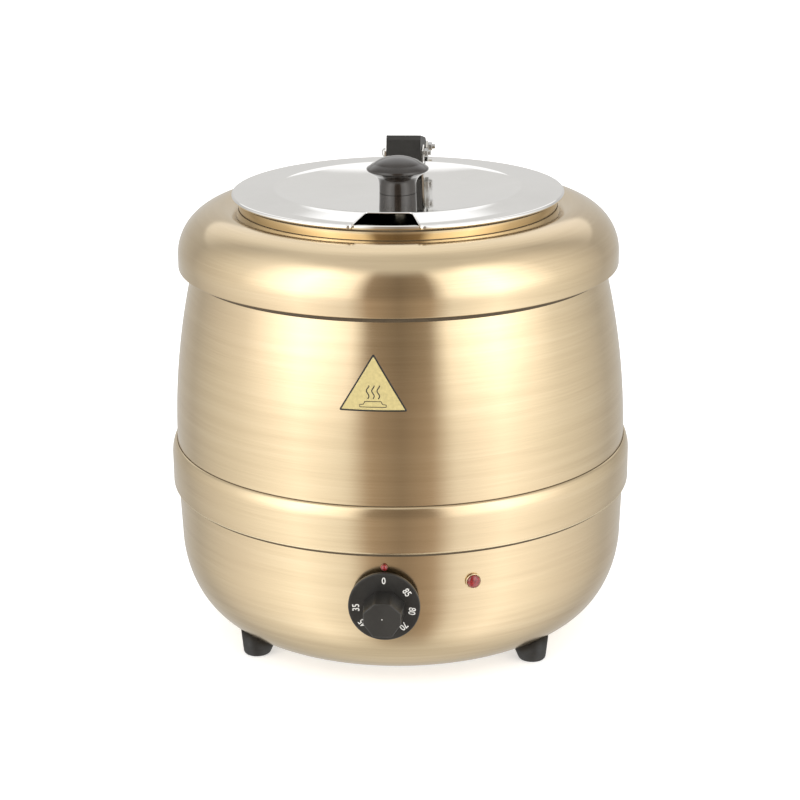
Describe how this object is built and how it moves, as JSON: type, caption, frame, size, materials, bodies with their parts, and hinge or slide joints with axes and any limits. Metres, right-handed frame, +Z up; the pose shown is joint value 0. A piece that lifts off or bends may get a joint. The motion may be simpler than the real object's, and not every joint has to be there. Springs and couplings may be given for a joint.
{
  "type": "soup kettle",
  "caption": "Barrel-shaped electric soup kettle with a hinged notched lid, a lift-out pot, a thermostat dial and an indicator lamp.",
  "frame": {"origin": "on the kettle axis, on the plane its four feet stand on", "axes": "+Z up along the kettle axis, -Y towards the thermostat dial, +Y towards the lid hinge and the cord gland"},
  "size_m": [0.345, 0.388, 0.359],
  "materials": {
    "brass": "brushed, lacquered brass-tone steel",
    "polished_steel": "mirror polished stainless steel",
    "satin_steel": "satin zinc or stainless steel",
    "aluminium": "drawn aluminium",
    "bakelite": "glossy black phenolic moulding",
    "black_plastic": "satin black moulding",
    "rubber": "matt black rubber",
    "red_lens": "red translucent lens",
    "white_plastic": "off-white heat-resistant moulding",
    "copper": "bare copper"
  },
  "bodies": {
    "housing": {"lower_bowl": "brass", "waist_band": "brass", "barrel_shell": "brass", "collar": "brass", "base_plate": "satin_steel", "water_tank": "satin_steel", "heating_element": "satin_steel", "heater_clamp_plate": "satin_steel", "clamp_nut": "satin_steel", "thermostat_screw_left": "satin_steel", "thermostat_screw_right": "satin_steel", "base_screw_1": "satin_steel", "foot_screw_1": "satin_steel", "base_screw_2": "satin_steel", "foot_screw_2": "satin_steel", "base_screw_3": "satin_steel", "foot_screw_3": "satin_steel", "base_screw_4": "satin_steel", "foot_screw_4": "satin_steel", "foot_front_left": "rubber", "foot_front_right": "rubber", "foot_rear_left": "rubber", "foot_rear_right": "rubber", "cord_gland": "black_plastic", "gland_nut": "black_plastic", "thermal_cutout": "black_plastic", "indicator_nut": "black_plastic", "indicator_lens": "red_lens", "index_jewel": "red_lens", "thermostat_body": "white_plastic", "indicator_body": "white_plastic", "terminal_block": "white_plastic", "thermostat_bulb": "copper", "capillary_tube": "copper"},
    "pot": {"soup_pot": "polished_steel", "hinge_bracket": "polished_steel", "hinge_pin": "satin_steel", "hinge_pin_nut": "satin_steel"},
    "lid": {"lid": "polished_steel", "lid_knob": "bakelite", "lid_knob_screw": "satin_steel", "lid_bracket": "polished_steel", "hinge_arm": "black_plastic", "arm_bolt": "satin_steel", "arm_nut": "satin_steel"},
    "dial": {"control_knob": "black_plastic", "thermostat_shaft": "aluminium"}
  },
  "joints": [
    {"name": "pot_lift", "type": "slide", "parent": "housing", "child": "pot", "axis": [0, 0, 1], "range_m": [0, 0.25]},
    {"name": "lid_hinge", "type": "hinge", "parent": "pot", "child": "lid", "pos_m": [0, 0.1325, 0.338], "axis": [-1, 0, 0], "range_deg": [0, 100]},
    {"name": "dial_turn", "type": "hinge", "parent": "housing", "child": "dial", "pos_m": [0, -0.1715, 0.0764], "axis": [0, 1, 0], "range_deg": [0, 305]}
  ]
}
